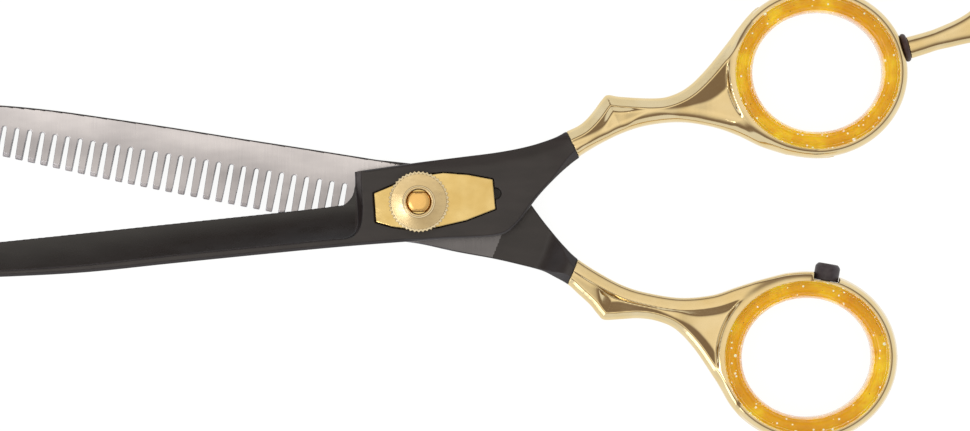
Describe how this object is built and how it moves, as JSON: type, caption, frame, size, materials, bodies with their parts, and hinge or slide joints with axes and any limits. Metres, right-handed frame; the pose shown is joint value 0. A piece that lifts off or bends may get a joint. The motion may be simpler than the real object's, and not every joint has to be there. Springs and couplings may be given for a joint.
{
  "type": "thinning shears",
  "caption": "hair thinning shears: solid upper blade over a toothed lower blade, leaf-spring tension pivot, gold offset handles, soft ring inserts, screw-in finger rest and stop bumper",
  "frame": {"origin": "on the pivot axis, on the flat underside of the pivot bolt's head, which lies on the table", "axes": "+Z along the pivot axis from the bolt head to the tension nut; +X along the closed shears from the pivot towards the finger rings; +Y to the side of the ring that carries the finger rest"},
  "size_m": [0.1859, 0.0804, 0.0093],
  "materials": {
    "black_coat": "satin black coating over steel",
    "satin_steel": "finely brushed satin steel, black coated outside the ride face",
    "gold_plate": "polished pale gold plating",
    "gold_fastener": "turned and polished gold",
    "amber_insert": "translucent amber soft plastic with a few dark flecks",
    "black_rubber": "matte black rubber",
    "plain_steel": "plain machined steel",
    "bush_brass": "machined brass",
    "white_polymer": "smooth low-friction polymer"
  },
  "bodies": {
    "front_half": {"front_blade": "black_coat", "front_handle": "gold_plate", "front_ring_insert": "amber_insert", "finger_rest_washer": "black_rubber", "pivot_bolt": "gold_fastener", "friction_washer": "white_polymer", "tension_plate": "gold_fastener"},
    "rear_half": {"rear_blade": "satin_steel", "rear_handle": "gold_plate", "rear_ring_insert": "amber_insert", "bumper": "black_rubber", "bumper_stud": "plain_steel", "pivot_bush": "bush_brass"},
    "nut": {"tension_nut": "gold_fastener"},
    "rest": {"finger_rest": "gold_plate"}
  },
  "joints": [
    {"name": "blade_pivot", "type": "hinge", "parent": "front_half", "child": "rear_half", "pos_m": [0, 0, 0.0034], "axis": [0, 0, 1], "range_deg": [-90, 14.7]},
    {"name": "tension_nut_turn", "type": "hinge", "parent": "front_half", "child": "nut", "pos_m": [0, 0, 0.00795], "axis": [0, 0, 1], "continuous": true},
    {"name": "finger_rest_turn", "type": "hinge", "parent": "front_half", "child": "rest", "pos_m": [0.07915, 0.0251, 0.0034], "axis": [0.9636, 0.2672, 0], "continuous": true}
  ]
}
